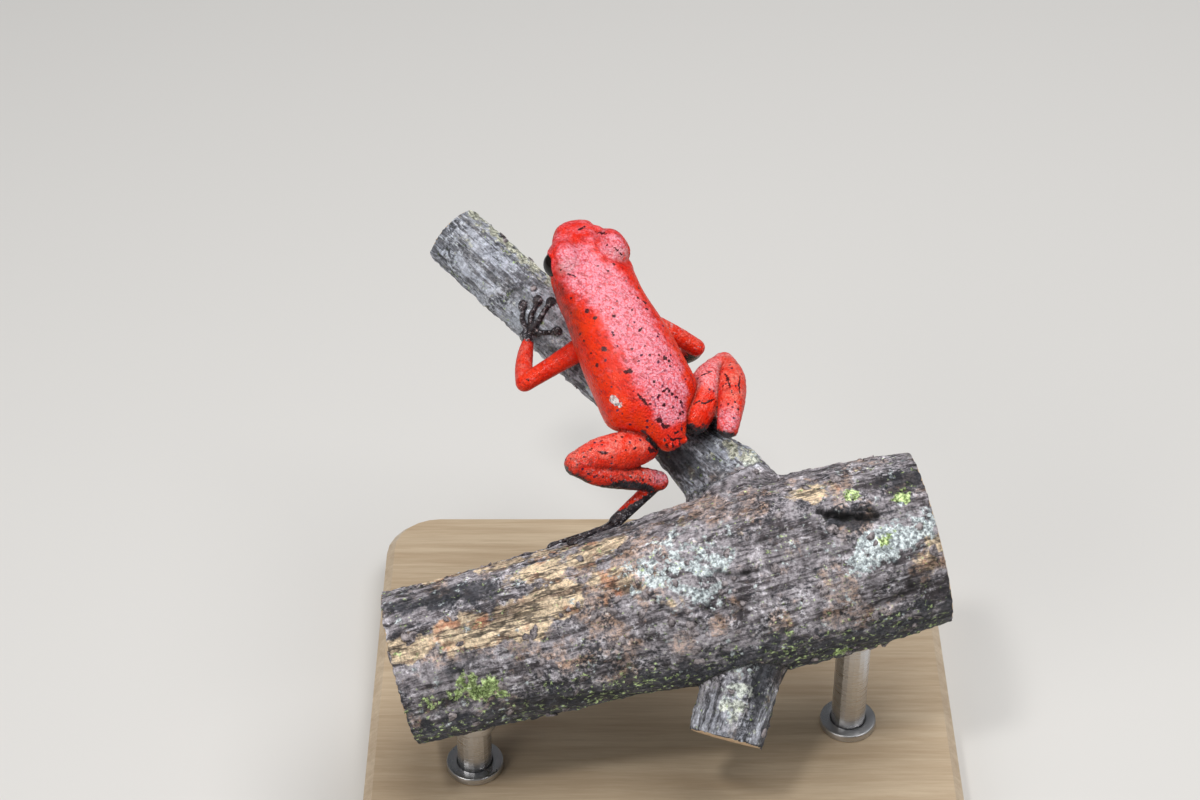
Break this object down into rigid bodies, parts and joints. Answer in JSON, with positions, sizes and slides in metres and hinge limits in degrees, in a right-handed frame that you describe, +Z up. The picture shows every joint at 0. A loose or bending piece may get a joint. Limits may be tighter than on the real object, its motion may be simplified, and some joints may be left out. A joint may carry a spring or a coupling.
{
  "type": "poison dart frog model",
  "caption": "Life-size red poison dart frog gripping a short cut fork of branch, held on a plain flat display base by upright rods.",
  "frame": {"origin": "middle of the underside of the flat base, which is also the middle of the model's footprint", "axes": "+Z up; +X to the right along the long side of the base, the way the thick branch runs; +Y away from the viewer, the way the frog climbs"},
  "size_m": [0.052, 0.044, 0.0454],
  "materials": {
    "back_skin": "moist granular red skin with a soft sheen",
    "limb_skin": "moist red skin",
    "digit_skin": "moist blackish grey skin",
    "eye": "wet black",
    "bark": "rough weathered bark with lichen",
    "twig_bark": "grey weathered bark with pale lichen",
    "base_wood": "pale wood with a satin lacquer",
    "rod_steel": "brushed"
  },
  "bodies": {
    "root": {"head": "back_skin", "torso": "back_skin", "eye_left": "eye", "eye_right": "eye", "upper_arm_left": "limb_skin", "forearm_left": "limb_skin", "hand_left": "digit_skin", "upper_arm_right": "limb_skin", "forearm_right": "limb_skin", "hand_right": "digit_skin", "thigh_left": "limb_skin", "shank_left": "limb_skin", "foot_left": "digit_skin", "thigh_right": "limb_skin", "shank_right": "limb_skin", "foot_right": "digit_skin", "perch_branch": "bark", "perch_twig": "twig_bark", "stand_base": "base_wood", "stand_rod_left": "rod_steel", "stand_rod_right": "rod_steel"}
  },
  "joints": []
}
